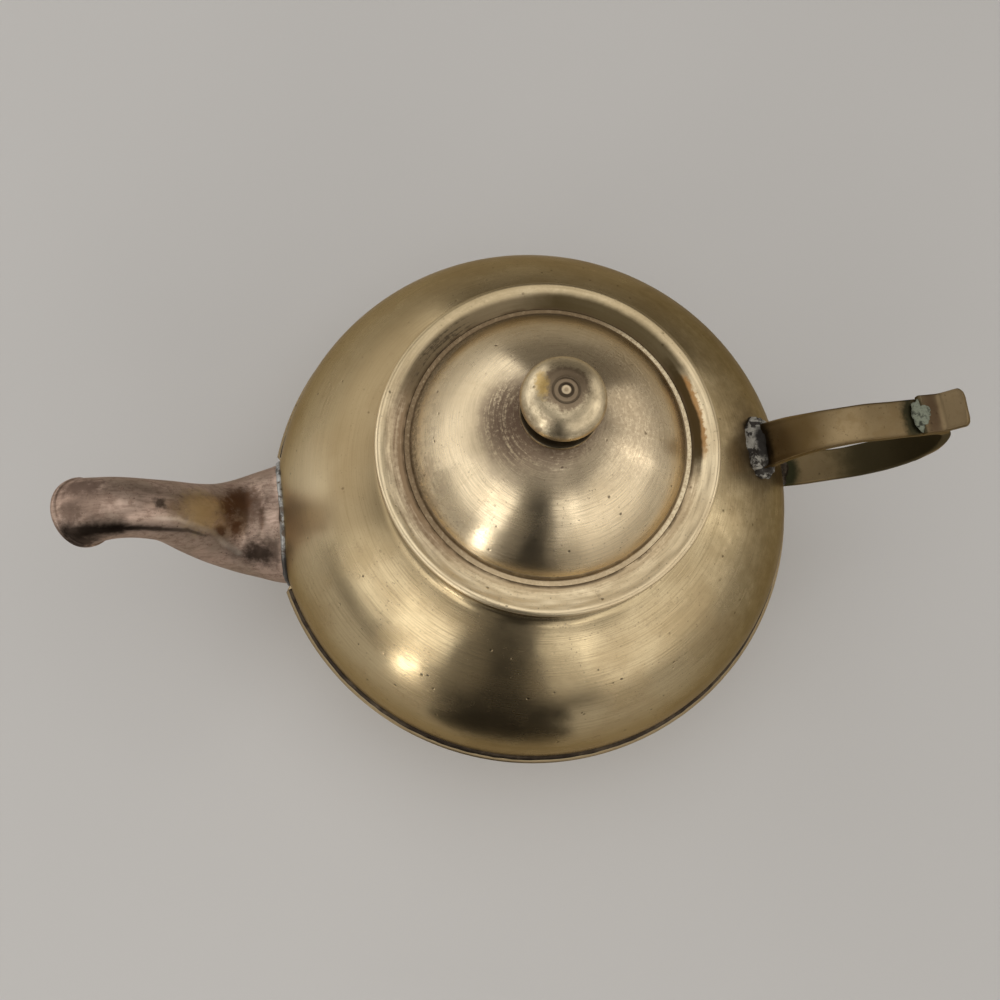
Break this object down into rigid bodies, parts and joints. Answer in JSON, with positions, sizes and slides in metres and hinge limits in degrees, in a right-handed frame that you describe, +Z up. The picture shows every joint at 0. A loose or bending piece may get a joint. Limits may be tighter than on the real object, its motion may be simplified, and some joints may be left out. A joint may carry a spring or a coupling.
{
  "type": "teapot",
  "caption": "Small round metal teapot with a swan-neck spout, a bent strap handle with a thumb tab, and a loose domed lid with a ball knob.",
  "frame": {"origin": "centre of the foot ring's tread, on the table", "axes": "+Z up, +X towards the handle, -X towards the spout, Y across the pot"},
  "size_m": [0.1999, 0.13, 0.1207],
  "materials": {
    "body_brass": "old spun brass, softly polished, with small pits and fine scratches",
    "rim_brass": "bright on the rounded lip, with dirt and brown tarnish in the step inside it",
    "lid_brass": "turned brass with circular brushing and a dark tarnish ring round the knob",
    "knob_brass": "turned and polished brass with fine concentric rings on top",
    "spout_copper": "pinkish-brown copper, worn smooth, with dark brown stains",
    "handle_brass": "browned brass strap, worn lighter along its edges",
    "grey_solder": "dull grey soft solder",
    "dark_solder": "blackened soft solder with grime",
    "pale_solder": "white-grey crusted solder with black flux in the hollows",
    "green_solder": "solder lump with pale green verdigris and black edges"
  },
  "bodies": {
    "pot": {"body_upper": "body_brass", "body_lower": "body_brass", "seam_solder": "dark_solder", "foot_ring": "body_brass", "neck_rim": "rim_brass", "spout": "spout_copper", "spout_solder": "grey_solder", "handle_strap": "handle_brass", "thumb_piece": "handle_brass", "thumb_solder": "green_solder", "handle_top_solder": "pale_solder", "handle_lower_solder": "dark_solder"},
    "lid": {"lid_dome": "lid_brass", "lid_bezel": "lid_brass", "knob": "knob_brass", "knob_washer": "knob_brass"}
  },
  "joints": [
    {"name": "lid_lift", "type": "slide", "parent": "pot", "child": "lid", "axis": [0, 0, 1], "range_m": [0, 0.06]}
  ]
}
